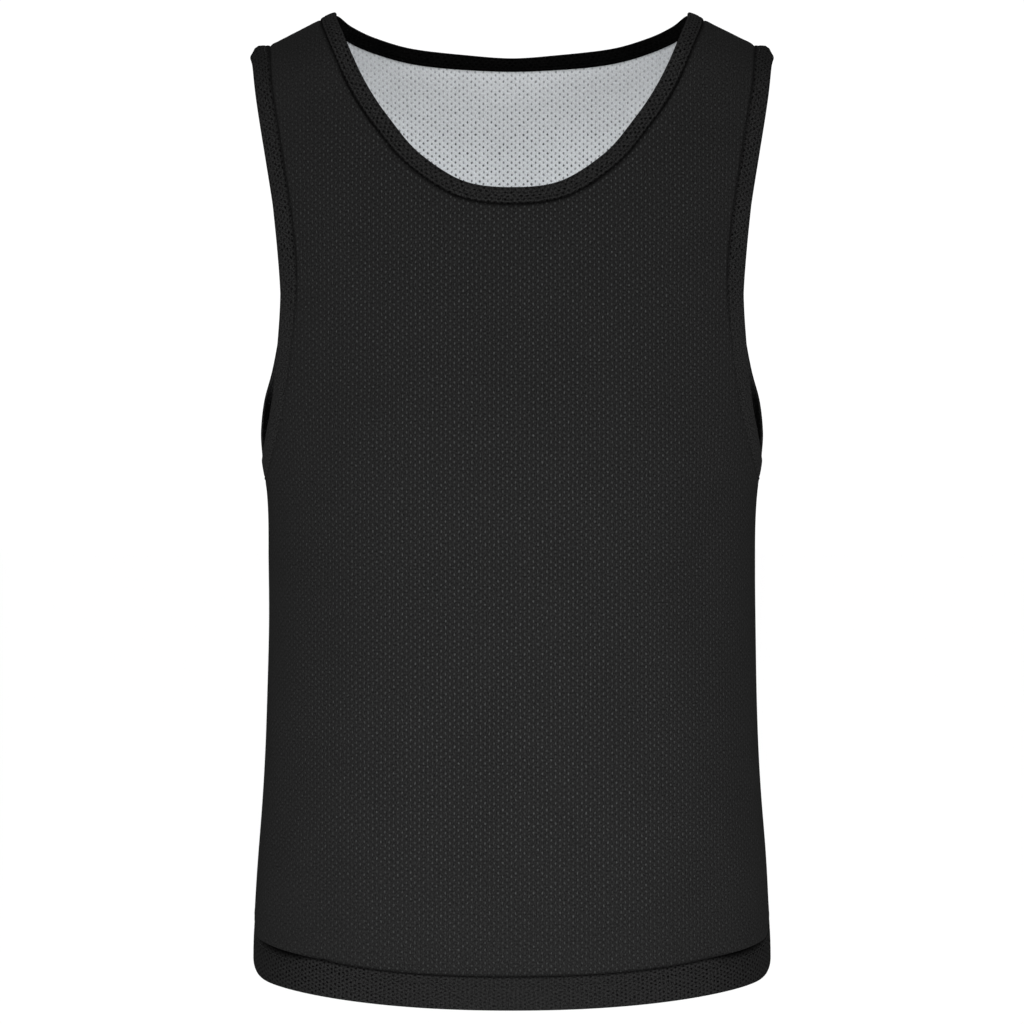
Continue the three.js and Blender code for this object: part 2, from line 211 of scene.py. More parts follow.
def armhole_edge(side, share):
    """Free edge of an armhole band, from the shoulder line (0) to the side seam (1)."""
    rows, other = ARMHOLE_EDGE[side], ARMHOLE_EDGE[-side]
    past_side = other[-2] * PAST_MIDDLE + (2 * SIDE, 0, 0)
    edge = edge_points(rows, other[1] * PAST_SHOULDER, past_side, share)
    drop = edge[:, 1]
    edge[:, 0] += moved_out(drop, ARMHOLE_BULGE) + moved_out(drop, ARMHOLE_TOP)
    if side == FRONT:
        fade = soft_step((SIDE - edge[:, 0]) / FLARE_FADE)
        edge[:, 0] += moved_out(drop, ARMHOLE_FLARE) * fade
    return edge


SEAM_STEPS = 4  # in which a seam is found from its free edge
EASED_DROP, EASED_TURN = 10, 9  # mm and degrees from a seam's ends over which it is eased


def seam_line(side, edge, shoulder_way):
    """The seam of a band: each point of its free edge moved in by the band's width, square to
    the edge, in steps over the body. It is then eased so that it ends on the shoulder line
    when moved along that line, and at the middle and the side seam when moved straight down."""
    turn, drop, width = edge.T.copy()
    points = body_point(side, turn, drop)
    along = np.gradient(points, axis=0)
    for _ in range(SEAM_STEPS):
        by_turn, by_drop, outward = body_slopes(side, turn, drop)
        move = side * np.cross(outward, along)
        move *= (width / SEAM_STEPS / np.linalg.norm(move, axis=1))[:, None]
        tt, dd = (by_turn**2).sum(1), (by_drop**2).sum(1)
        td = (by_turn * by_drop).sum(1)
        mt, md = (move * by_turn).sum(1), (move * by_drop).sum(1)
        turn = turn + (mt * dd - md * td) / (tt * dd - td**2)
        drop = drop + (md * tt - mt * td) / (tt * dd - td**2)
    seam = np.stack([turn, drop], 1)
    for end in (0, -1):
        if edge[end, 1] == 0:
            run = edge[end, 2] * shoulder_way / np.hypot(1, SHOULDER_FALL)
            across = (points[end, 0] + run) / SHOULDER_HALF
            out = (1 - across**SQUARENESS) ** (1 / SQUARENESS)
            goal, near = (np.degrees(np.arctan2(across, out)), 0), bell(edge[:, 1], EASED_DROP)
        else:
            down = edge[end, 1] + edge[end, 2] if edge[end, 0] > 0 else seam[end, 1]
            goal, near = (edge[end, 0], down), bell(edge[:, 0] - edge[end, 0], EASED_TURN)
        seam += (goal - seam[end]) * near[:, None]
    return seam


OUTWARDS, INWARDS = 1, -1  # the way along the shoulder line from a band's free edge to its seam


def neck_seam(side, share):
    """Seam of the neck band at the same shares as its free edge."""
    return seam_line(side, neck_edge(side, share), OUTWARDS)


def armhole_seam(side, share):
    """Seam of an armhole band at the same shares as its free edge."""
    return seam_line(side, armhole_edge(side, share), INWARDS)


def hem_level(turn):
    """Level of the hem band's lower edge: lowest at the middle, rising towards the sides."""
    across = section_point(turn)[0]
    return HEM_LEVEL + HEM_RISE * across**2 + HEM_CORNER_RISE * across**48


def panel_bottom_level(turn):
    """Level of the panels' lower edge, where the hem band is sewn on."""
    across = section_point(turn)[0]
    return hem_level(turn) + HEM_BAND_HEIGHT + HEM_BAND_SIDE_EXTRA * across**4


def at_height(turn, level):
    """Turn and drop of the body's point at a level below the rounded shoulder."""
    fall = shoulder_level(section_point(turn)[0]) - level - SHOULDER_ROUND
    return np.stack([turn, fall + SHOULDER_ROUND * np.pi / 2], -1)


# Where a panel's rows reach the underarm and the lowest point of the neck, as shares of the way
# from the hem to the shoulder line, and how the cloth is divided: the number of steps in each
# stretch and how much closer together they are at its ends
UNDERARM, NECK_LOW = 8 / 22, 13 / 22
COLUMNS, COLUMN_EASE = 72, 0.8
ROW_STRETCHES = ((0, UNDERARM, 48, 0.75), (UNDERARM, NECK_LOW, 36, 0.6), (NECK_LOW, 1, 60, 0.7))
ARMHOLE_SAMPLES = 241  # along the armhole's seam, for reading it off at the rows
TURN_STEPS = 60  # for summing the way round the body


def eased(count, ease):
    """Shares from 0 to 1 in the given number of steps, closer together at both ends: even steps
    less a sine wave."""
    even = np.linspace(0, 1, count + 1)
    return even - ease * np.sin(2 * np.pi * even) / (2 * np.pi)


def panel_shares():
    """Shares of a panel's columns and rows, closer together next to the seams."""
    rows = [low + (high - low) * eased(count, ease) for low, high, count, ease in ROW_STRETCHES]
    rows = np.concatenate([rows[0][:-1], rows[1][:-1], rows[2]])
    return eased(COLUMNS, COLUMN_EASE), rows


def panel_spots(side):
    """Turn and drop of one half of a panel, in columns outwards and rows upwards. The inner edge
    is the middle line and the neck seam, the outer edge the side seam and the armhole seam.
    Each spot inside is the sum of the blends between facing edges, less that of the corners."""
    u, v = panel_shares()
    bottom = at_height(SIDE * u, panel_bottom_level(SIDE * u))
    neck = neck_seam(side, (v[v >= NECK_LOW] - NECK_LOW) / (1 - NECK_LOW))
    samples = np.linspace(0, 1, ARMHOLE_SAMPLES)
    armhole = armhole_seam(side, samples)
    rise = (v[v >= UNDERARM] - UNDERARM) / (1 - UNDERARM)
    armhole = np.stack([np.interp(1 - rise, samples, armhole[:, k]) for k in range(2)], 1)
    middle = (v[v < NECK_LOW] / NECK_LOW)[:, None]
    side_seam = (v[v < UNDERARM] / UNDERARM)[:, None]
    inside = np.vstack([bottom[0] * (1 - middle) + neck[0] * middle, neck])
    outside = np.vstack([bottom[-1] * (1 - side_seam) + armhole[0] * side_seam, armhole])
    top = inside[-1] + (outside[-1] - inside[-1]) * u[:, None]
    u, v = u[:, None, None], v[None, :, None]
    across = inside[None] * (1 - u) + outside[None] * u
    upwards = bottom[:, None] * (1 - v) + top[:, None] * v
    low_corners = bottom[0] * (1 - u) + bottom[-1] * u
    high_corners = top[0] * (1 - u) + top[-1] * u
    return across + upwards - low_corners * (1 - v) - high_corners * v


def cloth_place(side, turn, drop):
    """Where a spot lies on the flat cloth, in mm: the way round the level section from the
    middle, summed over short steps of turn, and the height down the cloth, less the drop."""
    level = body_point(side, turn, drop)[..., 2]
    half = at_level(level, HALF_WIDTH)
    depth = at_level(level, DEPTH[side]) * np.sin(np.minimum(drop / SHOULDER_ROUND, np.pi / 2))
    part = np.linspace(0, 1, TURN_STEPS + 1)[:, None, None] * turn
    x, y = section_point(part)
    steps = np.hypot(np.diff(x * half, axis=0), np.diff(y * depth, axis=0))
    return steps.sum(0), shoulder_level(section_point(turn)[0]) - drop


# Creases of the hanging cloth, as where each starts and ends (mm across the cloth, level), its
# half-width and its height, with troughs below zero. They are shallow, as the cloth is smooth.
CREASES = {
    FRONT: np.array([
        (-118, -330, -111, -500, 13, 1.1),
        (116, -322, 109, -492, 14, 1.2),
        (-112, -185, -101, -262, 30, -1.7),
        (114, -190, 104, -255, 28, -1.6),
        (-176, -336, -128, -398, 8, -0.9),
        (172, -330, 120, -405, 9, -1.0),
        (-186, -372, -146, -420, 7, 0.6),
        (182, -368, 150, -428, 8, 0.7),
        (-58, -530, -50, -655, 17, 0.9),
        (34, -548, 44, -660, 19, 0.8),
        (-142, -560, -134, -662, 12, -0.9),
        (146, -585, 140, -660, 13, -1.0),
        (92, -600, 88, -664, 12, -0.7),
        (-96, -110, -118, -60, 12, -0.8),
        (100, -112, 124, -62, 13, -0.9),
        (-190, -500, -196, -640, 15, 0.8),
        (194, -470, 200, -610, 16, 0.8),
    ]),
    BACK: np.array([
        (-64, -120, -46, -270, 26, -1.8),
        (58, -128, 44, -262, 24, -1.6),
        (-120, -300, -62, -372, 11, 1.2),
        (126, -292, 74, -384, 12, 1.3),
        (-178, -330, -118, -430, 9, -1.1),
        (174, -338, 122, -424, 9, -1.0),
        (-88, -400, -74, -560, 16, 1.3),
        (24, -420, 30, -590, 18, 1.2),
        (104, -440, 96, -600, 14, 1.1),
        (-134, -540, -126, -664, 13, -1.2),
        (-20, -580, -26, -664, 14, -1.0),
        (142, -560, 148, -664, 13, -1.1),
        (-110, -70, -88, -130, 13, -0.9),
        (112, -66, 92, -122, 12, -1.0),
    ]),
}


def crease_height(side, across, level):
    """Height of the cloth above its smooth form: for each crease, a bell across the distance to
    the line from its start to its end."""
    height = np.zeros_like(level)
    for x0, z0, x1, z1, half_width, peak in CREASES[side]:
        run, rise = x1 - x0, z1 - z0
        along = ((across - x0) * run + (level - z0) * rise) / (run**2 + rise**2)
        along = np.clip(along, 0, 1)
        away = np.hypot(across - x0 - along * run, level - z0 - along * rise)
        height += peak * bell(away, half_width)
    return height


def ripple(across, along, size):
    """Soft uneven waves of about the given size in mm: five sines in set directions."""
    waves = ((1, 0.3, 0.0), (-0.7, 0.9, 1.3), (0.45, -1.3, 2.1), (1.6, 0.5, 4.0), (-1.1, -1.7, 5.2))
    return sum(
        np.sin(2 * np.pi * (a * across + b * along) / size + c) / (1 + abs(a) + abs(b))
        for a, b, c in waves
    )


def distance_to(points, line):
    """Distance from each point of a grid to a line through the given points: on each straight
    piece, the nearest place is a share of its length, kept between its ends."""
    flat = points.reshape(-1, 1, 3)
    start, piece = line[:-1], np.diff(line, axis=0)
    share = ((flat - start) * piece).sum(-1) / (piece**2).sum(-1)
    nearest = start + np.clip(share, 0, 1)[..., None] * piece
    return np.linalg.norm(flat - nearest, axis=-1).min(1).reshape(points.shape[:-1])


# How the cloth lies near its seams: mm of height, or share of the light, and how far it reaches
SEAM_DIP, SEAM_DIP_WIDTH = 0.75, 1.3  # the edges turn in towards each seam
SEAM_SHADE, SEAM_SHADE_WIDTH = 0.5, 1.3  # painted shade in the seam: the share of light taken off there
LINING_SEAM_SHADE = 0.4  # and how much of that shows on the pale cloth
PUCKER, PUCKER_WIDTH, FLAT_WIDTH, PUCKER_LENGTH = 0.22, 7, 2, 13  # waves drawn up by the sewing
SLACK, SLACK_LENGTH = 0.3, 150  # long uneven waves of the whole cloth
HEM_ROLL, HEM_ROLL_WIDTH = 0.4, 16  # the cloth stands out a little above the hem band
HEM_SWELL, HEM_SWELL_WIDTH, HEM_SOFT_WIDTH = 3.4, 9, 6  # and more at the corners, with no dip
LOW_DROP, LOW_RUN, LOW_WIDTH = 190, 70, 6  # round the lowest part of the armhole the seam is flat
LOW_DIP_LOSS, LOW_SHADE_LOSS = 0.85, 0.75
NECK_SHADOW, NECK_SHADOW_WIDTH = 0.33, 50  # painted shadow of the band on the lining below it
CREASE_FREE = 25  # creases fade out this near the side seam and the armhole
CORNER_FROM, CORNER_RISE, CORNER_UNTIL, CORNER_FALL = 40, 16, 77, 14  # degrees of turn
# Eyelets close towards the sides, over the shoulders and near the hem, where nothing pulls: by
# what share, and from where and over what way in degrees of turn, mm of drop and mm of level
CLOSED = (0.72, 14, 56), (0.65, 150, -120), (0.35, -570, -100)


def hem_shadow(turn):
    """How deep the painted shadow under the body's edge is: 1 from the corners to the side seam."""
    return soft_step((turn - CORNER_FROM) / CORNER_RISE)


def hem_corner(turn):
    """1 at the front and back corners of the hem, where the body hangs out over the band, and 0
    at the middle and the side seam."""
    return hem_shadow(turn) * soft_step((CORNER_UNTIL - turn) / CORNER_FALL)


def panel_faces(side, depth_in, wall, outside):
    """The outer and inner faces of one panel as grids of points in mm, with the place on the
    flat cloth, the painted shade, and how far the eyelets stand open. depth_in is how far the
    outer face lies inside the body's form. The face that shows dips to the seams, and the outside
    cloth swells over the hem band, most at the corners. The painted shade darkens the cloth along
    the seams, but not the outside cloth's edge at the hem corners, and on the lining it darkens
    the cloth below the neck as the band's shadow."""
    spots = panel_spots(side)
    turn, drop = spots[..., 0], spots[..., 1]
    rows = panel_shares()[1]
    body = body_point(side, turn, drop)
    level = body[..., 2]
    outward = body_slopes(side, turn, drop)[2]
    across, height = cloth_place(side, turn, drop)
    to_neck = distance_to(body, body[0, rows >= NECK_LOW])
    to_armhole = distance_to(body, body[-1, rows >= UNDERARM])
    to_side = distance_to(body, body[-1, rows <= UNDERARM])
    to_hem, to_shoulder = distance_to(body, body[:, 0]), distance_to(body, body[:, -1])
    near = np.minimum.reduce([to_neck, to_armhole, to_side, to_hem, to_shoulder])
    dip = SEAM_DIP * bell(near, SEAM_DIP_WIDTH)
    low = soft_step((drop - LOW_DROP) / LOW_RUN) * bell(to_armhole, LOW_WIDTH)
    dip *= 1 - LOW_DIP_LOSS * low
    pucker = PUCKER * bell(near, PUCKER_WIDTH) * (1 - bell(near, FLAT_WIDTH))
    shade = 1 - SEAM_SHADE * bell(near, SEAM_SHADE_WIDTH) * (1 - LOW_SHADE_LOSS * low)
    if outside:
        corner = hem_shadow(turn) * bell(to_hem, HEM_SOFT_WIDTH)
        dip *= 1 - corner
        shade += (1 - shade) * corner
        swell = HEM_ROLL * bell(to_hem, HEM_ROLL_WIDTH)
        swell += HEM_SWELL * hem_corner(turn) * bell(to_hem, HEM_SWELL_WIDTH)
        dips = -dip, 0.0
    else:
        shade = 1 - LINING_SEAM_SHADE * (1 - shade)
        shade *= 1 - NECK_SHADOW * bell(to_neck, NECK_SHADOW_WIDTH)
        swell, dips = 0.0, (0.0, dip)
    open_share = 1.0
    for (closed, start, run), value in zip(CLOSED, (turn, drop, level)):
        open_share = open_share * (1 - closed * soft_step((value - start) / run))
    creased = 1 - bell(np.minimum(to_side, to_armhole), CREASE_FREE)
    halves = []
    for hand in (1, -1):
        signed = hand * across
        lift = crease_height(side, signed, level) * creased
        lift += pucker * ripple(signed, height, PUCKER_LENGTH)
        lift += SLACK * ripple(signed, height, SLACK_LENGTH) + swell - depth_in
        faces = [body + outward * (lift + d)[..., None] for d in (dips[0], dips[1] - wall)]
        for face in faces:
            face[..., 1] = side * np.maximum(np.abs(face[..., 1]), SEAM_GAP / 2)
            face[..., 0] *= hand
        halves.append((faces, np.stack([signed, height], -1), shade, open_share))
    return halves


def grid_quads(numbers):
    """Quads between the numbered points of a grid."""
    a, b = numbers[:-1, :-1], numbers[1:, :-1]
    c, d = numbers[1:, 1:], numbers[:-1, 1:]
    return np.stack([a, b, c, d], -1).reshape(-1, 4)


def turned_out(points, quads):
    """The quads, turned over if the volume that they close is below zero."""
    a, b, c, d = (points[quads[:, k]] for k in range(4))
    volume = (a * (np.cross(b, c) + np.cross(c, d))).sum()
    return quads[:, ::-1] if volume < 0 else quads


def add_mesh(name, points, quads, material, place=None, values=None, corner_place=None):
    """A mesh object from points in mm and faces of four corners. place gives each point, and
    corner_place each corner, its place on the flat cloth in mm; values are numbers kept at the
    points for the material to read."""
    mesh = bpy.data.meshes.new(name)
    mesh.vertices.add(len(points))
    mesh.vertices.foreach_set("co", (points / 1000).astype(np.float32).ravel())
    mesh.loops.add(quads.size)
    mesh.loops.foreach_set("vertex_index", quads.ravel().astype(np.int32))
    mesh.polygons.add(len(quads))
    starts = np.arange(0, quads.size, quads.shape[1], dtype=np.int32)
    mesh.polygons.foreach_set("loop_start", starts)
    mesh.polygons.foreach_set("use_smooth", np.ones(len(quads), bool))
    if corner_place is None:
        corner_place = place[quads.ravel()]
    flat = mesh.uv_layers.new(name="cloth")
    flat.data.foreach_set("uv", (corner_place / 1000).astype(np.float32).ravel())
    for key, numbers in (values or {}).items():
        kept = mesh.attributes.new(key, "FLOAT", "POINT")
        kept.data.foreach_set("value", numbers.astype(np.float32))
    mesh.update()
    mesh.validate()
    mesh.materials.append(material)
    piece = bpy.data.objects.new(name, mesh)
    bpy.context.scene.collection.objects.link(piece)
    return piece


def panel_piece(name, side, material, depth_in, wall, outside):
    """A closed wall of cloth: the outer face, the inner face and a rim along each free edge. The
    two halves share the points of the middle line up to the neck."""
    halves = panel_faces(side, depth_in, wall, outside)
    shape = halves[0][0][0].shape[:2]
    count = shape[0] * shape[1]
    numbers = np.arange(2 * count).reshape(2, *shape)
    rows = panel_shares()[1]
    joined = int((rows < NECK_LOW).sum()) + 1
    numbers[1, 0, :joined] = numbers[0, 0, :joined]
    quads = np.vstack([grid_quads(numbers[0]), grid_quads(numbers[1])[:, ::-1]])
    used = np.unique(quads)
    quads = np.searchsorted(used, quads)
    outer, inner = (
        np.vstack([half[0][face].reshape(-1, 3) for half in halves])[used] for face in (0, 1)
    )
    place = np.tile(np.vstack([half[1].reshape(-1, 2) for half in halves])[used], (2, 1))
    values = {
        key: np.tile(np.concatenate([half[k].ravel() for half in halves])[used], 2)
        for key, k in (("shade", 2), ("open", 3))
    }
    borders = np.concatenate([quads[:, [k, (k + 1) % 4]] for k in range(4)])
    size = len(used)
    alone = ~np.isin(borders @ (size, 1), borders @ (1, size))
    a, b = borders[alone].T
    rims = np.stack([b, a, a + size, b + size], 1)
    points = np.vstack([outer, inner])
    every = np.vstack([quads, quads[:, ::-1] + size, rims])
    return add_mesh(name, points, turned_out(points, every), material, place, values)


def linear(colour):
    """Turns an sRGB hex colour to linear red, green, blue and alpha."""
    value = np.array([int(colour[k : k + 2], 16) for k in (0, 2, 4)]) / 255
    value = np.where(value <= 0.04045, value / 12.92, ((value + 0.055) / 1.055) ** 2.4)
    return (*value.tolist(), 1.0)


def add_node(tree, kind, inputs=(), output=0, **settings):
    """Adds a shader node of a kind with its settings and gives one of its outputs. The inputs
    are listed in order or by name, and each is a value, or an output that is linked to it."""
    node = tree.nodes.new("ShaderNode" + kind)
    for key, value in settings.items():
        setattr(node, key, value)
    for key, value in inputs.items() if isinstance(inputs, dict) else enumerate(inputs):
        if isinstance(value, bpy.types.NodeSocket):
            tree.links.new(value, node.inputs[key])
        else:
            node.inputs[key].default_value = value
    return node.outputs[output] if node.outputs else node


def eyelet_distance(tree, place, spacing, size):
    """Distance to the nearest eyelet's middle, 1 at its edge. Eyelets stand in columns half a
    cell apart: the place is cut into cells of twice the column spacing by the row spacing, once
    as it is and once half a cell on, and the nearer middle counts."""
    (column, row), (width, height) = spacing, size
    nearest = []
    for shift in (0.0, 0.5):
        per_cell, on = (500 / column, 1000 / row, 0), (shift, shift, 0)
        cell = add_node(tree, "VectorMath", [place, per_cell, on], operation="MULTIPLY_ADD")
        inside = add_node(tree, "VectorMath", [cell], operation="FRACTION")
        middle = add_node(tree, "VectorMath", [inside, (0.5, 0.5, 0)], operation="SUBTRACT")
        by_size = (4 * column / width, 2 * row / height, 0)
        sized = add_node(tree, "VectorMath", [middle, by_size], operation="MULTIPLY")
        nearest.append(add_node(tree, "VectorMath", [sized], "Value", operation="LENGTH"))
    return add_node(tree, "Math", nearest, operation="MINIMUM")


def mesh_cloth(name, yarn, eyelet, spacing, size, uneven, grain, rough, specular, sheen):
    """A knitted mesh material. The colour goes from the yarn's to the eyelet's by how far each
    eyelet stands open, which the cloth's "open" gives and which varies by the share uneven. The
    columns of loops vary it by the share grain, and the cloth's "shade" paints in light and
    shade: darker in the seams and shadowed places, lighter inside the armhole bands up high."""
    material = bpy.data.materials.new(name)
    material.use_nodes = True
    tree = material.node_tree
    tree.nodes.clear()
    place = add_node(tree, "UVMap", uv_map="cloth")
    # the knitting is never quite even: each eyelet wanders its own way by a sixth of a mm
    wander = add_node(
        tree, "TexNoise", {"Vector": place, "Scale": 300.0, "Detail": 0.0}, "Color",
        noise_dimensions="2D",
    )
    moved = add_node(
        tree, "VectorMath", [wander, (0.0007, 0.0007, 0), place], operation="MULTIPLY_ADD"
    )
    distance = eyelet_distance(tree, moved, spacing, size)
    hole = add_node(tree, "MapRange", [distance, 1.3, 0.6], interpolation_type="SMOOTHSTEP")
    each = add_node(
        tree, "TexNoise", {"Vector": place, "Scale": 230.0, "Detail": 0.0}, noise_dimensions="2D"
    )
    each = add_node(tree, "MapRange", [each, 0.3, 0.68, 1 - uneven, 1.0])
    share = add_node(tree, "Attribute", output="Fac", attribute_name="open")
    each = add_node(tree, "Math", [each, share], operation="MULTIPLY")
    seen = add_node(tree, "Math", [hole, each], operation="MULTIPLY")
    # loops 0.8 mm wide and 1.2 mm long, each of its own tone
    column = add_node(tree, "VectorMath", [moved, (1250.0, 830.0, 0)], operation="MULTIPLY")
    loop = add_node(
        tree, "TexNoise", {"Vector": column, "Scale": 1.0, "Detail": 1.0}, noise_dimensions="2D"
    )
    # under them the stitches of the yarn, 0.75 mm apart along a row and 0.6 mm along a column
    per_metre = (2000 * np.pi / 0.75, 2000 * np.pi / 0.6, 0)
    waves = add_node(tree, "VectorMath", [moved, per_metre], operation="MULTIPLY")
    ribs = add_node(tree, "VectorMath", [waves], operation="SINE")
    ribs = add_node(tree, "SeparateXYZ", [ribs]).node
    stitch = add_node(tree, "Math", list(ribs.outputs)[:2], operation="MULTIPLY")
    mound = add_node(
        tree, "MapRange", [distance, 0.6, 2.4, 0.0, 0.4], interpolation_type="SMOOTHSTEP"
    )
    mound = add_node(tree, "Math", [loop, 0.5, mound], operation="MULTIPLY_ADD")
    mound = add_node(tree, "Math", [stitch, 0.05, mound], operation="MULTIPLY_ADD")
    bump = add_node(tree, "Bump", {"Strength": 0.8, "Distance": 0.001, "Height": mound})
    patch = add_node(
        tree, "TexNoise",
        {"Vector": place, "Scale": 22.0, "Detail": 3.0, "Roughness": 0.6}, noise_dimensions="2D",
    )
    light = add_node(tree, "MapRange", [patch, 0.3, 0.7, 0.97, 1.03])
    tone = add_node(tree, "MapRange", [loop, 0.25, 0.75, 1 - grain, 1 + grain])
    light = add_node(tree, "Math", [light, tone], operation="MULTIPLY")
    light = add_node(tree, "Math", [stitch, 0.05, light], operation="MULTIPLY_ADD")
    shade = add_node(tree, "Attribute", output="Fac", attribute_name="shade")
    light = add_node(tree, "Math", [light, shade], operation="MULTIPLY")
    colour = add_node(
        tree, "Mix", {0: seen, 6: linear(yarn), 7: linear(eyelet)}, 2, data_type="RGBA"
    )
    colour = add_node(tree, "VectorMath", {0: colour, 3: light}, operation="SCALE")
    worn = add_node(tree, "MapRange", [distance, 0.6, 2.0, min(rough + 0.1, 1.0), rough])
    surface = add_node(
        tree, "BsdfPrincipled",
        {
            "Base Color": colour, "Roughness": worn, "Specular IOR Level": specular,
            "Sheen Weight": sheen, "Sheen Roughness": 0.5, "Normal": bump,
        },
    )
    add_node(tree, "OutputMaterial", {"Surface": surface})
    return material


# Black knitted polyester mesh: dyed filament yarn, soft and matt. Its eyelets are painted as
# light dots: the pale lining seen through them, in painted shade. Eyelets in columns 3 mm apart,
# 4.5 mm from one to the next in a column, each 1.1 mm wide and 1.9 mm tall.
black_mesh = mesh_cloth(
    "black_polyester_eyelet_mesh", "181818", "2e2f2f", (3.0, 4.52), (1.1, 1.9),
    uneven=0.42, grain=0.5, rough=0.9, specular=0.0, sheen=0.005,
)

OUTER_WALL, LINING_WALL = 1.0, 1.0  # thickness of the two cloths
for side, name in ((FRONT, "outer_front"), (BACK, "outer_back")):
    cloth = panel_piece(f"{name}_cloth", side, black_mesh, 0.0, OUTER_WALL, outside=True)
    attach(cloth, "root")
    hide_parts(name)

# Pale grey lining
# The reverse side of the bib: the same two panels in pale grey mesh, inside the black ones and
# caught in the same seams. It shows inside the neck, where its own eyelets look dark.

# Pale grey knitted polyester mesh, a touch smoother and brighter than the black, with the dark
# outer cloth behind its eyelets
pale_mesh = mesh_cloth(
    "pale_grey_polyester_eyelet_mesh", "e4e7ea", "55595c", (3.0, 4.52), (1.5, 1.9),
    uneven=0.45, grain=0.14, rough=0.7, specular=0.3, sheen=0.1,
)
LINING_DEPTH = OUTER_WALL + GAP  # of its outer face inside the black cloth's
for side, name in ((FRONT, "lining_front"), (BACK, "lining_back")):
    cloth = panel_piece(f"{name}_cloth", side, pale_mesh, LINING_DEPTH, LINING_WALL, outside=False)
    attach(cloth, "root")
    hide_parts(name)

# Neck band
# A strip of the black mesh folded double along its length, joined into a ring and sewn round the
# neck, so that both sides of the bib are finished alike. One row of topstitching holds it flat.

BAND_OUT = 0.3  # the band stands out this far past the cloth on each side
BAND_IN = -(OUTER_WALL + GAP + LINING_WALL + BAND_OUT)
BAND_MIDDLE = (BAND_OUT + BAND_IN) / 2
BAND_WALL = 1.0  # thickness of the strip's cloth
WALL_SHARE = 0.8  # the most that a wall takes of the half of the band where it is pressed flat
FOLD_ROUND = 1.6  # how far from the free edge the faces start to round over
FOLD_STEPS = 9
SEAM_TUCK, UNDER_CLOTH = 0.7, 1.36  # how far the faces go on under the cloth, and how deep
BAND_DIP, BAND_DIP_WIDTH = 1.3, 0.8  # at the seam
STITCH_DIP, STITCH_DIP_WIDTH, STITCH_SHADE = 0.3, 0.5, 0.25  # at each stitch row, with painted shade in its groove
STITCH_IN = 0.1  # the middle of a stitch's thread lies this far inside the band's face


def band_profile(width, stitch_rows, crown):
    """Section of a folded strip as distances from the seam and heights above the cloth, both in
    mm: out along one face, round the fold in half an ellipse and back along the other face, then
    back again a wall's thickness inside. Each face dips at each stitch row and at the seam, where
    it goes on under the cloth's edge. The two walls stay on their own sides of the middle."""
    marks = [-SEAM_TUCK, 0.0, 0.4, 0.9, 1.5, 2.2]  # where each face has a point
    for row in stitch_rows:
        marks += [row - 1.0, row - 0.5, row, row + 0.5, row + 1.0]
    last = width - FOLD_ROUND
    marks += np.linspace(max(marks) + 0.8, last - 0.4, 4).tolist()
    away = np.unique(np.round(marks, 2))
    lift = crown * np.sin(np.pi * np.clip(away / last, 0, 1)) ** 0.8
    lift -= np.where(away < 0, UNDER_CLOTH, BAND_DIP * bell(away, BAND_DIP_WIDTH))
    for row in stitch_rows:
        lift -= STITCH_DIP * bell(away - row, STITCH_DIP_WIDTH)
    half = (BAND_OUT - BAND_IN) / 2
    wall = np.minimum(BAND_WALL, WALL_SHARE * (half + lift))
    angle = np.linspace(np.pi / 2, -np.pi / 2, FOLD_STEPS)
    fold = np.stack([last + FOLD_ROUND * np.cos(angle), BAND_MIDDLE + half * np.sin(angle)], 1)
    outer = np.vstack([
        np.stack([away, BAND_OUT + lift], 1),
        fold,
        np.stack([away, BAND_IN - lift], 1)[::-1],
    ])
    inner_fold = np.stack([
        last + (FOLD_ROUND - BAND_WALL) * np.cos(angle),
        BAND_MIDDLE + (half - BAND_WALL) * np.sin(angle),
    ], 1)
    inner = np.vstack([
        np.stack([away, BAND_OUT + lift - wall], 1),
        inner_fold,
        np.stack([away, BAND_IN - lift + wall], 1)[::-1],
    ])
    return outer, inner


def band_points(side, seam, edge, profile, width, lift=0.0):
    """Points of a band's sections and the ways outwards there. A profile point's distance from
    the seam, as a share of the width, is its share of the way from the seam to the edge over the
    body; its height and the lift are along the way outwards."""
    share = (profile[:, 0] / width)[:, None]
    spots = seam[:, None] + (edge[:, :2] - seam)[:, None] * share
    turn, drop = spots[..., 0], spots[..., 1]
    outward = body_slopes(side, turn, drop)[2]
    return body_point(side, turn, drop) + outward * (profile[:, 1] + lift)[..., None], outward


def joined_halves(front, back, mirror=(-1, 1, 1)):
    """A ring from the middle of the front to the middle of the back, and on round the other
    half, which mirrors the first."""
    right = np.concatenate([front, back[::-1][1:]])
    return np.concatenate([right, right[1:-1][::-1] * mirror])


def unraised(side, spots):
    """No height above a band's own form."""
    return 0.0


def band_ring(join, seams, edges, profile, width, raised=unraised):
    """The ring of a band's sections, joined from the front's and the back's. raised gives the
    height of the band above its own form."""
    path = np.vstack([profile[0], profile[1][::-1]])
    return join(*(
        band_points(s, seams[s], edges[s], path, width, raised(s, path))[0] for s in SIDES
    ))


def stitch_paths(join, seams, edges, rows, width, raised=unraised):
    """The ring of points of each stitch row, on the outer and the inner face of a band, with the
    ways outwards there."""
    paths = []
    for row in rows:
        for height, way in ((BAND_OUT - STITCH_IN, 1), (BAND_IN + STITCH_IN, -1)):
            spot = np.array([[row, height]])
            found = [
                band_points(s, seams[s], edges[s], spot, width, raised(s, spot)) for s in SIDES
            ]
            points, outward = (join(*(part[k] for part in found))[:, 0] for k in (0, 1))
            paths.append((points, outward * way))
    return paths


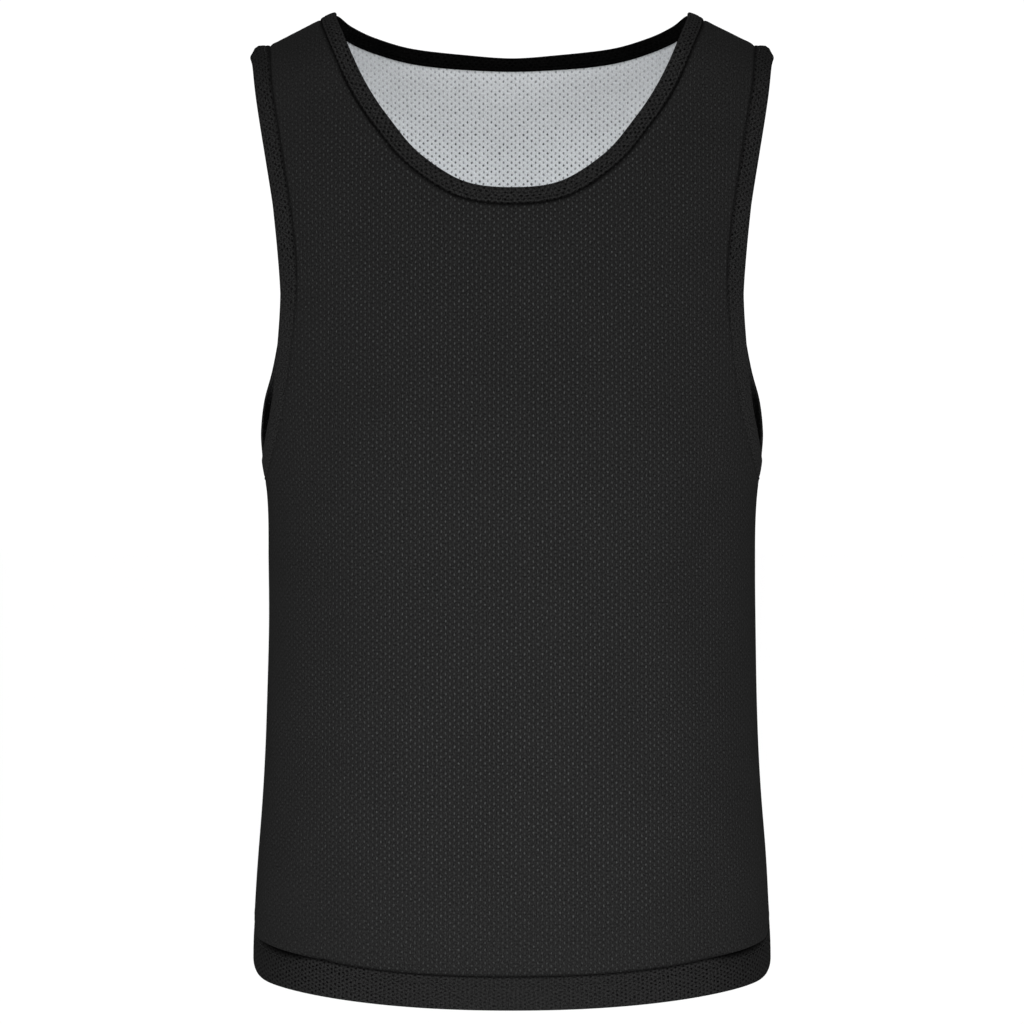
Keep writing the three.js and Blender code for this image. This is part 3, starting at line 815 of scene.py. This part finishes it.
def ring_piece(name, ring, profile, material, cell, lean, shade, open_share):
    """A closed ring of sections. A point's place on the flat strip is the way along the ring,
    stretched a little to a whole number of eyelet cells, and the way round the section. The
    lean of each section slants the rows of eyelets there."""
    count, size = ring.shape[:2]
    i, j = np.meshgrid(np.arange(count), np.arange(size), indexing="ij")
    i, j = i.ravel(), j.ravel()
    after, over = (i + 1) % count, (j + 1) % size
    quads = np.stack([i * size + j, after * size + j, after * size + over, i * size + over], 1)
    closed = np.concatenate([ring, ring[:1]])
    steps = np.linalg.norm(np.diff(closed, axis=0), axis=2).mean(1)
    along = np.concatenate([[0], np.cumsum(steps)])
    along *= np.round(along[-1] / cell) * cell / along[-1]
    outer, inner = profile
    round_outer = np.concatenate([[0], np.cumsum(np.linalg.norm(np.diff(outer, axis=0), axis=1))])
    round_all = np.concatenate([round_outer, round_outer[::-1], [0]])
    leans = np.append(lean, lean[0])
    corner_place = np.stack([
        np.stack([along[a] + leans[a] * round_all[b], round_all[b]], 1)
        for a, b in ((i, j), (i + 1, j), (i + 1, j + 1), (i, j + 1))
    ], 1)
    points = ring.reshape(-1, 3)
    out = turned_out(points, quads)
    if out[0, 0] != quads[0, 0]:
        corner_place = corner_place[:, ::-1]
    values = {"shade": shade.ravel(), "open": np.repeat(open_share, size)}
    return add_mesh(name, points, out, material, corner_place=corner_place, values=values)


def band_shade(profile, stitch_rows, deep, reach, inside):
    """Painted shade of the points of every section: darker by deep at the seam, over the reach in
    mm, and in each stitch row, and all over the inside by a share, which above 1 paints it
    lighter. These are given for each section."""
    outer, inner = profile
    away = np.concatenate([outer[:, 0], inner[::-1, 0]])
    shade = 1 - deep[:, None] * bell(np.maximum(away, 0), reach[:, None], 4)
    for row in stitch_rows:
        shade *= 1 - STITCH_SHADE * bell(away - row, STITCH_DIP_WIDTH)
    faces_in = np.zeros(len(away), bool)
    faces_in[(len(outer) + 1) // 2 : len(outer)] = True
    return np.where(faces_in, shade * inside[:, None], shade)


STITCH_LENGTH, STITCH_GAP, THREAD_WIDTH = 2.4, 0.7, 0.42
STITCH_SINK = 0.3  # the ends of a stitch lie this much lower, where the thread goes in
# Rings of a stitch, as shares of its half-length and of its thickness, and corners of a ring
RING_PLACES, RING_WIDTHS = np.array([-1, -0.55, 0.55, 1]), np.array([0.45, 1, 1, 0.45])
RING_CORNERS = 6


def stitch_rows_piece(name, rows, material):
    """Rows of stitches joined in one mesh. Each row is a ring of points with the ways outwards.
    The stitches stand at even steps along it, each a six-sided thread of four rings, thinner and
    lower at its ends and closed by two faces at each end."""
    angle = 2 * np.pi / RING_CORNERS * np.arange(RING_CORNERS)
    ring = np.arange(len(RING_PLACES) * RING_CORNERS).reshape(-1, RING_CORNERS)
    sides = grid_quads(np.column_stack([ring, ring[:, 0]]))
    start, end = ring[0], ring[-1]
    caps = [start[[0, 3, 2, 1]], start[[0, 5, 4, 3]], end[[0, 1, 2, 3]], end[[0, 3, 4, 5]]]
    one = np.vstack([sides, caps])
    half, radius = STITCH_LENGTH / 2, THREAD_WIDTH / 2
    flat = np.broadcast_arrays(RING_PLACES[:, None] * half, angle * radius)
    flat = np.stack(flat, -1).reshape(-1, 2)
    points, quads, places, base = [], [], [], 0
    for path, normal in rows:
        path, normal = np.vstack([path, path[:1]]), np.vstack([normal, normal[:1]])
        way = np.concatenate([[0], np.cumsum(np.linalg.norm(np.diff(path, axis=0), axis=1))])
        count = int(round(way[-1] / (STITCH_LENGTH + STITCH_GAP)))
        middles = (np.arange(count) + 0.5) * way[-1] / count
        reach = middles[:, None] + RING_PLACES * half
        at = [np.interp(reach, way, path[:, k]) for k in range(3)]
        centre = np.stack(at, -1)
        up = np.stack([np.interp(reach, way, normal[:, k]) for k in range(3)], -1)
        along = centre[:, -1:] - centre[:, :1]
        along = along / np.linalg.norm(along, axis=-1, keepdims=True)
        beside = np.cross(along, up)
        beside /= np.linalg.norm(beside, axis=-1, keepdims=True)
        centre = centre - up * (STITCH_SINK * RING_PLACES**2)[:, None]
        rim = centre[:, :, None] + (radius * RING_WIDTHS)[:, None, None] * (
            np.cos(angle)[:, None] * beside[:, :, None] + np.sin(angle)[:, None] * up[:, :, None]
        )
        quads.append((base + one + ring.size * np.arange(count)[:, None, None]).reshape(-1, 4))
        points.append(rim.reshape(-1, 3))
        places.append(np.tile(flat, (count, 1)))
        base += ring.size * count
    points, quads = np.vstack(points), np.vstack(quads)
    return add_mesh(name, points, turned_out(points, quads), material, np.vstack(places))


# The same black mesh in a folded strip: its eyelets are painted darker than the yarn, as the
# strip's own black seen through them in painted shade. The strip is cut along the cloth, so its
# cells lie 4.4 by 4.8 mm along it.
BAND_CELL = 4.4
band_mesh = mesh_cloth(
    "black_polyester_eyelet_mesh_folded", "1b1b1b", "020202", (BAND_CELL / 2, 4.8), (2.1, 1.5),
    uneven=0.6, grain=0.8, rough=0.9, specular=0.0, sheen=0.005,
)

# Spun polyester sewing thread, black, twisted from two plies and a little glossier than the cloth
thread = bpy.data.materials.new("black_spun_polyester_thread")
thread.use_nodes = True
tree = thread.node_tree
tree.nodes.clear()
place = add_node(tree, "UVMap", uv_map="cloth")
turns = (2000 * np.pi / 0.5, 2000 * np.pi / 0.65, 0)  # a ply every 0.5 mm along, 0.65 mm round
ply = add_node(tree, "VectorMath", [place, turns], operation="MULTIPLY")
ply = add_node(tree, "SeparateXYZ", [ply]).node
twist = add_node(tree, "Math", list(ply.outputs)[:2], operation="ADD")
twist = add_node(tree, "Math", [twist], operation="SINE")
dyed = add_node(tree, "MapRange", [twist, -1.0, 1.0])
dyed = add_node(
    tree, "Mix", {0: dyed, 6: linear("121312"), 7: linear("252625")}, 2, data_type="RGBA"
)
bump = add_node(tree, "Bump", {"Strength": 0.5, "Distance": 0.0001, "Height": twist})
surface = add_node(
    tree, "BsdfPrincipled",
    {"Base Color": dyed, "Roughness": 0.6, "Specular IOR Level": 0.15, "Normal": bump},
)
add_node(tree, "OutputMaterial", {"Surface": surface})

NECK_WIDTH, NECK_CROWN = 12.0, 0.5  # mm from seam to fold, and mm that its faces round up there
NECK_STITCHES = (3.6,)  # mm from the seam
NECK_LEAN, TOP_REACH = 0.7, 60  # the rows of eyelets lean within this drop of the shoulder line

share = eased(100, 0.5)
seams = {s: neck_seam(s, share) for s in SIDES}
edges = {s: neck_edge(s, share) for s in SIDES}
profile = band_profile(NECK_WIDTH, NECK_STITCHES, NECK_CROWN)
ring = band_ring(joined_halves, seams, edges, profile, NECK_WIDTH)
all_round = np.ones(len(ring))
# painted shade: dark along the seam and in the stitch row, and on the inside faces, which lie in
# shadow
shade = band_shade(
    profile, NECK_STITCHES, deep=0.8 * all_round, reach=1.2 * all_round, inside=0.19 * all_round
)
on_top = joined_halves(*(bell(edges[s][:, 1], TOP_REACH) for s in SIDES), mirror=-1)
neck_band = ring_piece(
    "neck_band_cloth", ring, profile, band_mesh, BAND_CELL, NECK_LEAN * on_top, shade, all_round
)
neck_stitches = stitch_rows_piece(
    "neck_band_stitches",
    stitch_paths(joined_halves, seams, edges, NECK_STITCHES, NECK_WIDTH), thread,
)
for piece in (neck_band, neck_stitches):
    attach(piece, "root")
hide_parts("neck_band")

# Armhole bands
# Two more folded strips of the black mesh, one round each armhole, sewn on in the same way. They
# stand a little wider than the neck band, with a row of topstitching close to the seam.

ARMHOLE_WIDTH, ARMHOLE_CROWN = 15.0, 0.35
ARMHOLE_STITCHES = (2.6,)
ARMHOLE_LEAN = 0.9
# On top of the shoulder, within a drop: how far the band stands up and curls over at its edge, and
# from what distance from the seam and over what way, in mm, with the share of light that it loses
TOP_DROP, STAND, STAND_WAY, CURL, CURL_FROM, CURL_WAY, TOP_SHADE = 15, 3.0, 8, 3.4, 9, 6, 0.28
# Under the arm, within degrees of the side seam: how far it rises at the seam, and sinks all over
UNDER_TURN, UNDER_DROP, UNDER_RISE, UNDER_RISE_WIDTH, UNDER_SINK = 14, 100, 1.2, 1.6, 0.8
LOW_PART, LOW_PART_RUN = 170, 80  # the drop from which the cloth is calmer, and over what way
SHADED_FROM, SHADED_RUN = 272, -22  # the drop below which its inside is painted in the body's shadow; higher up it is painted lighter than the yarn

share = eased(124, 0.6)
seams = {s: armhole_seam(s, share) for s in SIDES}
edges = {s: armhole_edge(s, share) for s in SIDES}


def armhole_raised(side, spots):
    """On top of the shoulder the band stands up towards its free edge and curls over at it, and
    under the arm it lies flat."""
    turn, drop, _ = edges[side].T
    away = spots[:, 0]
    stand = STAND * soft_step(away / STAND_WAY) - CURL * soft_step((away - CURL_FROM) / CURL_WAY)
    under_arm = (bell(SIDE - turn, UNDER_TURN) * (drop > UNDER_DROP))[:, None]
    flat = UNDER_RISE * bell(away, UNDER_RISE_WIDTH) - UNDER_SINK
    return bell(drop, TOP_DROP)[:, None] * stand + under_arm * flat


def joined_round(front, back):
    """A ring down the front from the shoulder line and up the back."""
    return np.concatenate([front, back[::-1][1:-1]])


profile = band_profile(ARMHOLE_WIDTH, ARMHOLE_STITCHES, ARMHOLE_CROWN)
ring = band_ring(joined_round, seams, edges, profile, ARMHOLE_WIDTH, armhole_raised)
paths = stitch_paths(joined_round, seams, edges, ARMHOLE_STITCHES, ARMHOLE_WIDTH, armhole_raised)
drop = joined_round(edges[FRONT][:, 1], edges[BACK][:, 1])
low = soft_step((drop - LOW_PART) / LOW_PART_RUN)
on_top = bell(drop, TOP_REACH)
# painted shade along the seam, fainter under the arm; the inside gets painted shade low down and
# painted light higher up
shade = band_shade(
    profile, ARMHOLE_STITCHES, deep=0.45 - 0.35 * low, reach=0.9 * np.ones(len(ring)),
    inside=0.25 + 1.5 * soft_step((drop - SHADED_FROM) / SHADED_RUN),
)
# painted shade over the band on top of the shoulder
shade *= 1 - TOP_SHADE * on_top[:, None]
for hand, name in ((1, "armhole_band_left"), (-1, "armhole_band_right")):
    mirror = (hand, 1, 1)
    band = ring_piece(
        f"{name}_cloth", ring * mirror, profile, band_mesh, BAND_CELL, ARMHOLE_LEAN * on_top,
        shade, 0.9 - 0.6 * low,
    )
    stitches = stitch_rows_piece(
        f"{name}_stitches", [(points * mirror, out * mirror) for points, out in paths], thread
    )
    for piece in (band, stitches):
        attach(piece, "root")
    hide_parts(name)

# Hem band
# The widest strip, folded double round the lower edge, with one row of topstitching a little below
# its seam. Towards the sides the body cloth swells out over the strip.

HEM_WIDTH, HEM_CROWN = 24.0, 0.3
HEM_STITCHES = (6.0,)
HEM_TUCK, HEM_TUCK_WIDTH = 2.2, 8  # how far the band goes in under the swelling body
HEM_STEPS = 108  # from the middle to the side seam

# The same black mesh with its eyelets pulled wide along the strip, painted dark: its own black
# seen through them in painted shade. Its cells lie 6 by 2.8 mm along it.
HEM_CELL = 6.0
hem_mesh = mesh_cloth(
    "black_polyester_eyelet_mesh_hem", "1a1a1a", "020202", (HEM_CELL / 2, 2.8), (1.9, 1.4),
    uneven=0.4, grain=0.55, rough=0.9, specular=0.0, sheen=0.005,
)

turn = np.linspace(0, SIDE, HEM_STEPS + 1)
seams = dict.fromkeys(SIDES, at_height(turn, panel_bottom_level(turn)))
edges = dict.fromkeys(SIDES, at_height(turn, hem_level(turn)))


def hem_tucked(side, spots):
    """At the corners the band goes in under the swelling body, most at its seam. It does so
    alike in front and behind."""
    return -HEM_TUCK * hem_corner(turn)[:, None] * bell(spots[:, 0], HEM_TUCK_WIDTH)


profile = band_profile(HEM_WIDTH, HEM_STITCHES, HEM_CROWN)
ring = band_ring(joined_halves, seams, edges, profile, HEM_WIDTH, hem_tucked)
corner, shadow, opened = (
    joined_halves(values, values, mirror=1)
    for values in (hem_corner(turn), hem_shadow(turn), 0.6 + 0.4 * soft_step(turn / 45))
)
# painted shadow under the body's swelling edge, deepest and widest at the corners and dark on to
# the side seam, and painted shade on the inside faces
shade = band_shade(
    profile, HEM_STITCHES, deep=0.6 + 0.38 * shadow, reach=0.9 + shadow + 2.6 * corner,
    inside=0.3 * np.ones(len(ring)),
)
# the whole band a little darker towards the sides
shade *= 1 - 0.15 * shadow[:, None]
hem_band = ring_piece(
    "hem_band_cloth", ring, profile, hem_mesh, HEM_CELL, np.zeros(len(ring)), shade, opened
)
hem_stitches = stitch_rows_piece(
    "hem_band_stitches",
    stitch_paths(joined_halves, seams, edges, HEM_STITCHES, HEM_WIDTH, hem_tucked), thread,
)
for piece in (hem_band, hem_stitches):
    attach(piece, "root")
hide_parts("hem_band")

# Studio and camera
# A plain pale floor well below the bib, which hangs as if worn, and an even white surround. Soft
# lights stand low in front and behind, with a small one at the waist and one above for the neck.

FLOOR_LEVEL = -1.1
bpy.ops.mesh.primitive_circle_add(vertices=128, radius=60, fill_type="NGON")
floor = bpy.context.object
floor.name = "floor"
floor.location = (0, 0, FLOOR_LEVEL)
# White matt emulsion, rolled on: an even pale ground with hardly a shine
painted = bpy.data.materials.new("pale_matt_floor_paint")
painted.use_nodes = True
paint = painted.node_tree.nodes["Principled BSDF"]
paint.inputs["Base Color"].default_value = linear("fafafa")
paint.inputs["Roughness"].default_value = 0.9
paint.inputs["Specular IOR Level"].default_value = 0.1
floor.data.materials.append(painted)

world = bpy.data.worlds.new("studio")
bpy.context.scene.world = world
world.use_nodes = True
surround = world.node_tree.nodes["Background"]
surround.inputs["Color"].default_value = (1, 1, 1, 1)
surround.inputs["Strength"].default_value = 1.05

# Where each light stands and what it is aimed at, in m, its width in m and its power in W
for name, place_m, aim, size, power in (
    ("soft_front_light", (0, -1.2, -1.0), (0, 0, -1.0), 1.0, 15.5),
    ("soft_waist_light", (0, -0.8, -0.6), (0, 0, -0.6), 0.3, 2.6),
    ("soft_neck_light", (0, -1.6, 0.9), (0, 0.08, -0.15), 1.0, 6.0),
    ("soft_back_light", (0, 1.2, -1.0), (0, 0, -1.0), 1.0, 15.0),
):
    lamp = bpy.data.lights.new(name, "AREA")
    lamp.size, lamp.energy = size, power
    light_object = bpy.data.objects.new(name, lamp)
    light_object.location = place_m
    toward = np.array(aim) - np.array(place_m)
    flat_way = np.hypot(toward[0], toward[1])
    light_object.rotation_euler = (
        np.arctan2(flat_way, -toward[2]), 0, np.arctan2(-toward[0], toward[1])
    )
    light_object.visible_camera = False
    bpy.context.scene.collection.objects.link(light_object)

camera_data = bpy.data.cameras.new("camera")
camera_data.sensor_width = 36.0
camera_data.lens = 107.42
camera_data.clip_end = 100.0
camera = bpy.data.objects.new("camera", camera_data)
camera.location = (0.0, -2.2, -0.359)
camera.rotation_euler = (np.pi / 2, 0, 0)
bpy.context.scene.collection.objects.link(camera)
bpy.context.scene.camera = camera
bpy.context.scene.view_settings.view_transform = "Standard"
